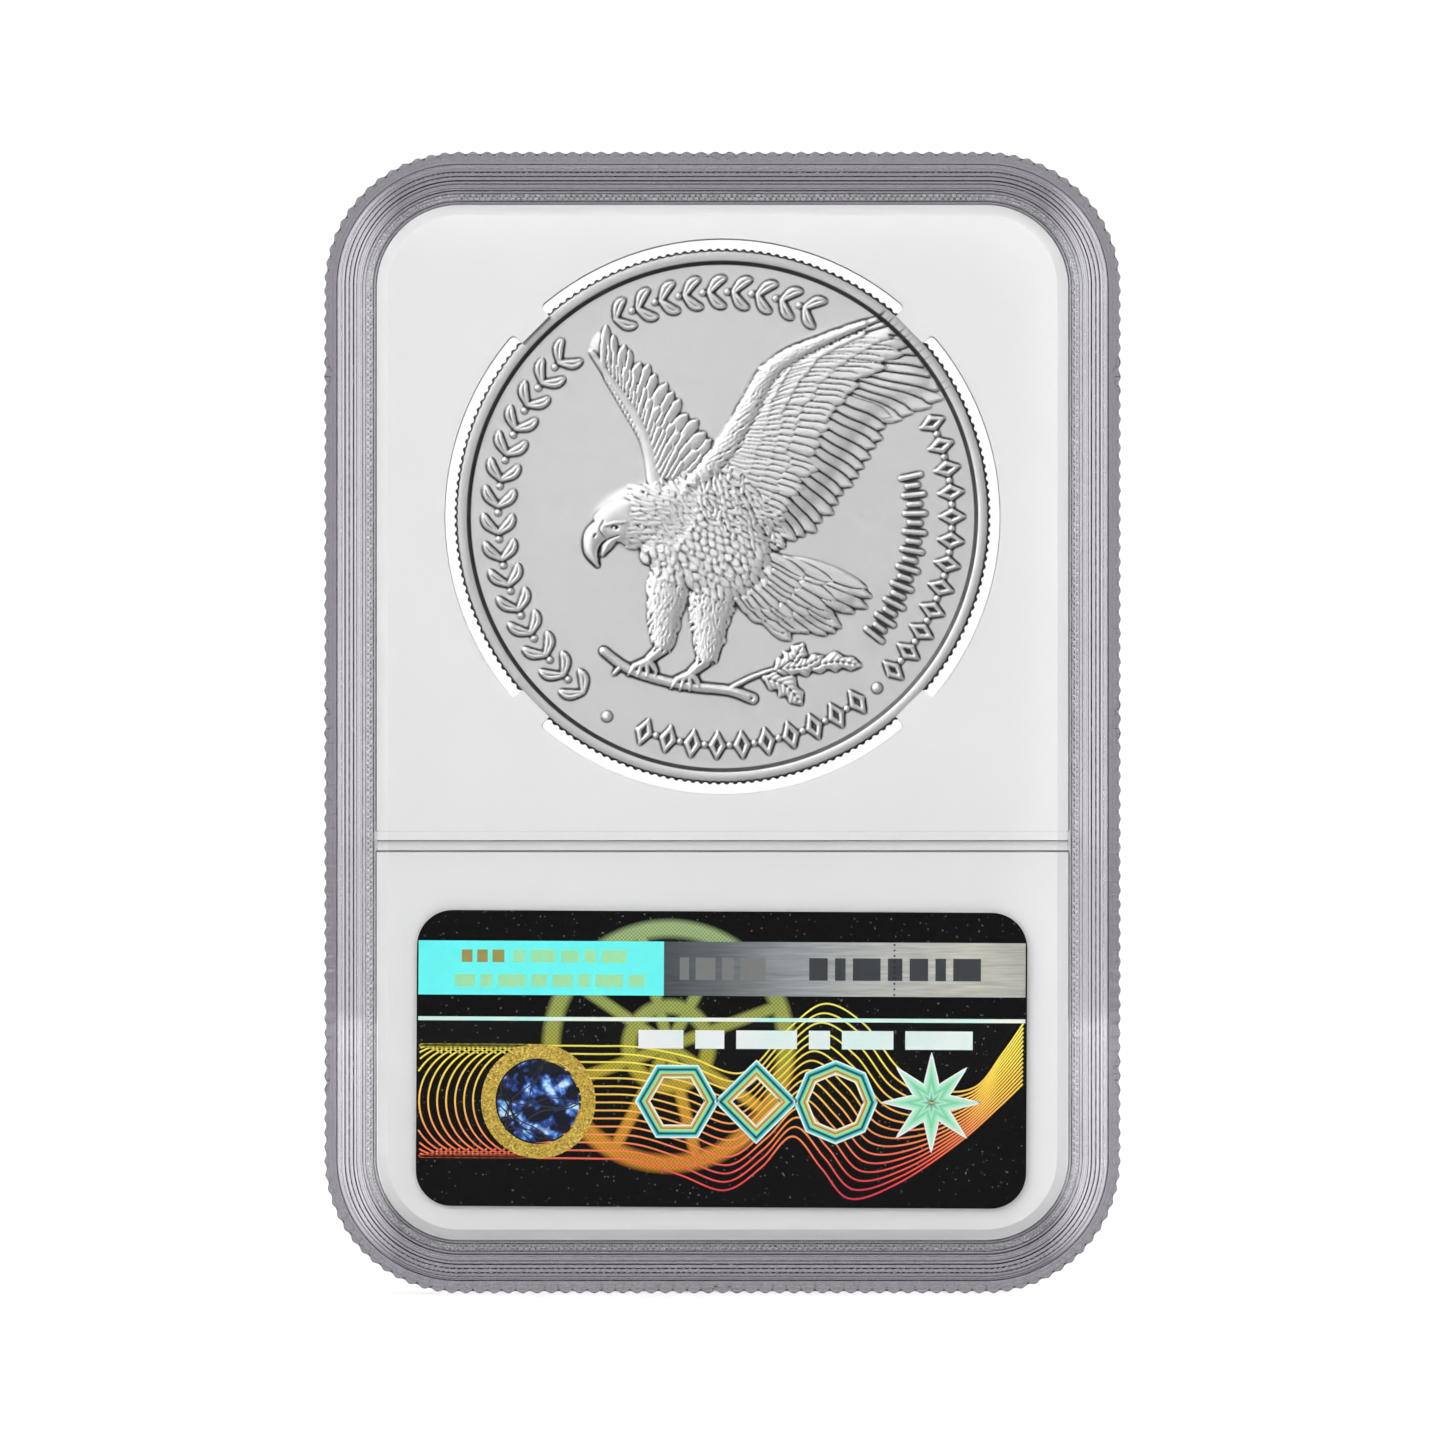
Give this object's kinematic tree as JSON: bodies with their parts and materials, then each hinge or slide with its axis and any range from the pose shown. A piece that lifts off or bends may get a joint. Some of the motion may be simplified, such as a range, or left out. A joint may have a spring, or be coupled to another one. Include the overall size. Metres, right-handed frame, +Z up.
{
  "type": "graded coin slab",
  "caption": "Clear sealed two-shell coin holder with a stacking rim, a white core insert gripping a large silver coin, and a black holographic label below it.",
  "frame": {"origin": "middle of the slab's bottom edge, midway through its thickness on the parting plane between the two shells", "axes": "+X to the right and +Z up when the coin's reverse and the black label face the viewer; that face looks towards -Y, and the obverse face towards +Y"},
  "size_m": [0.0604, 0.008, 0.0864],
  "materials": {
    "clear_styrene": "clear moulded plastic, polished, faint lavender-grey at the edges",
    "weld_bead": "remelted clear plastic, frosted and dotted",
    "insert_white": "satin white elastomer",
    "coin_silver": "matte struck silver with satin fields",
    "label_film": "black metallised film with fine specks",
    "adhesive": "white foam adhesive",
    "teal_foil": "turquoise diffraction foil with a fine dash pattern",
    "silver_foil": "brushed grey foil, dark to light",
    "line_foil": "bright silver foil with a pale rainbow",
    "rainbow_foil": "rainbow diffraction foil",
    "mint_foil": "pale green diffraction foil",
    "gold_foil": "gold glitter foil",
    "blue_foil": "blue-black diffraction foil",
    "card_white": "smooth coated card",
    "print_blue": "printed blue ink",
    "print_black": "printed black ink"
  },
  "bodies": {
    "root": {"reverse_shell": "clear_styrene", "obverse_shell": "clear_styrene", "weld_seam": "weld_bead", "core_insert": "insert_white", "coin": "coin_silver", "security_label": "label_film", "security_label_pad": "adhesive", "teal_foil_band": "teal_foil", "silver_foil_band": "silver_foil", "divider_foil_line": "line_foil", "bar_foils": "line_foil", "motif_foils": "rainbow_foil", "star_foil": "mint_foil", "seal_ring": "gold_foil", "seal_disc": "blue_foil", "grade_label": "card_white", "grade_label_pad": "adhesive", "grade_label_stripe": "print_blue", "grade_label_code": "print_black"}
  },
  "joints": []
}
